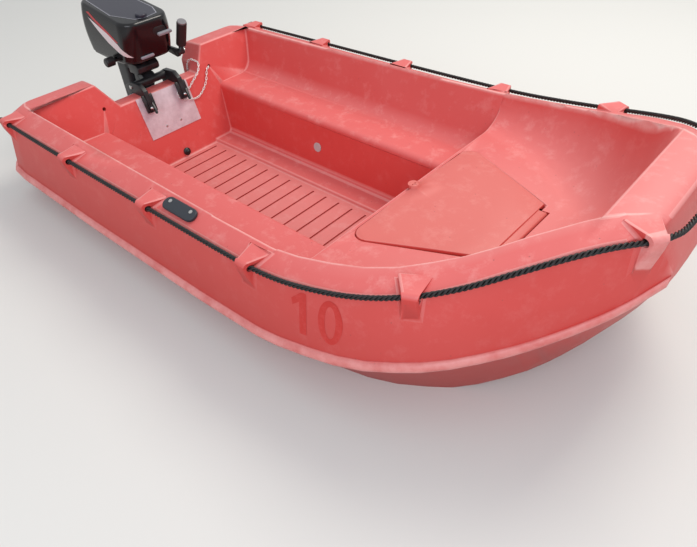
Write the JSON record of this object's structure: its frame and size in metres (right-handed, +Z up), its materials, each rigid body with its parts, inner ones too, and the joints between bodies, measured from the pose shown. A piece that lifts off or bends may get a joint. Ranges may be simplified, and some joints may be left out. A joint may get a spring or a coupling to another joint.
{
  "type": "rowing boat",
  "caption": "Small moulded plastic boat with side benches, a notched transom, a hinged bow locker lid, a grab rope through lugs and a tilting outboard motor.",
  "frame": {"origin": "on the centreline, amidships, in the plane of the water that the boat floats in", "axes": "+X to the bow, +Y to port, +Z up"},
  "size_m": [2.7225, 1.42, 0.9475],
  "materials": {
    "hull_plastic": "faded and scuffed",
    "black_rope": "three-strand rope",
    "bright_steel": "plain",
    "plate_alloy": "dull",
    "black_plastic": "satin",
    "grey_plastic": "satin",
    "motor_paint": "satin",
    "propeller_paint": "satin",
    "engine_iron": "plain",
    "cowl_black": "gloss",
    "black_rubber": "matte"
  },
  "bodies": {
    "hull": {"hull": "hull_plastic", "grab_rope": "black_rope", "lid_pins": "bright_steel", "transom_plates": "plate_alloy", "drain_plug": "black_plastic", "bench_disc": "grey_plastic", "side_pad": "black_plastic", "clamp_brackets": "motor_paint", "clamp_screws": "bright_steel", "tilt_rods": "bright_steel"},
    "lid": {"locker_lid": "hull_plastic"},
    "swivel": {"swivel_bracket": "motor_paint"},
    "motor": {"leg": "motor_paint", "gearcase": "motor_paint", "lower_cowl": "black_plastic", "engine_block": "engine_iron", "top_cowl": "cowl_black", "cowl_cap": "black_plastic", "shift_knob": "black_plastic", "tiller_pin": "bright_steel"},
    "tiller": {"tiller_arm": "motor_paint", "tiller_grip": "black_rubber", "tiller_cap": "grey_plastic"},
    "propeller": {"propeller": "propeller_paint", "propeller_nut": "bright_steel"}
  },
  "joints": [
    {"name": "lid_hinge", "type": "hinge", "parent": "hull", "child": "lid", "pos_m": [0.775, 0, 0.262], "axis": [0, 1, 0], "range_deg": [0, 95]},
    {"name": "motor_tilt", "type": "hinge", "parent": "hull", "child": "swivel", "pos_m": [-1.1305, 0, 0.2675], "axis": [0, 1, 0], "range_deg": [0, 68]},
    {"name": "motor_steer", "type": "hinge", "parent": "swivel", "child": "motor", "pos_m": [-1.206, 0, 0.18], "axis": [0, 0, 1], "range_deg": [-40, 40]},
    {"name": "tiller_fold", "type": "hinge", "parent": "motor", "child": "tiller", "pos_m": [-1.034, 0.134, 0.378], "axis": [0, -1, 0], "range_deg": [-68, 0]},
    {"name": "propeller_spin", "type": "hinge", "parent": "motor", "child": "propeller", "pos_m": [-1.478, 0, -0.27], "axis": [1, 0, 0], "continuous": true}
  ]
}
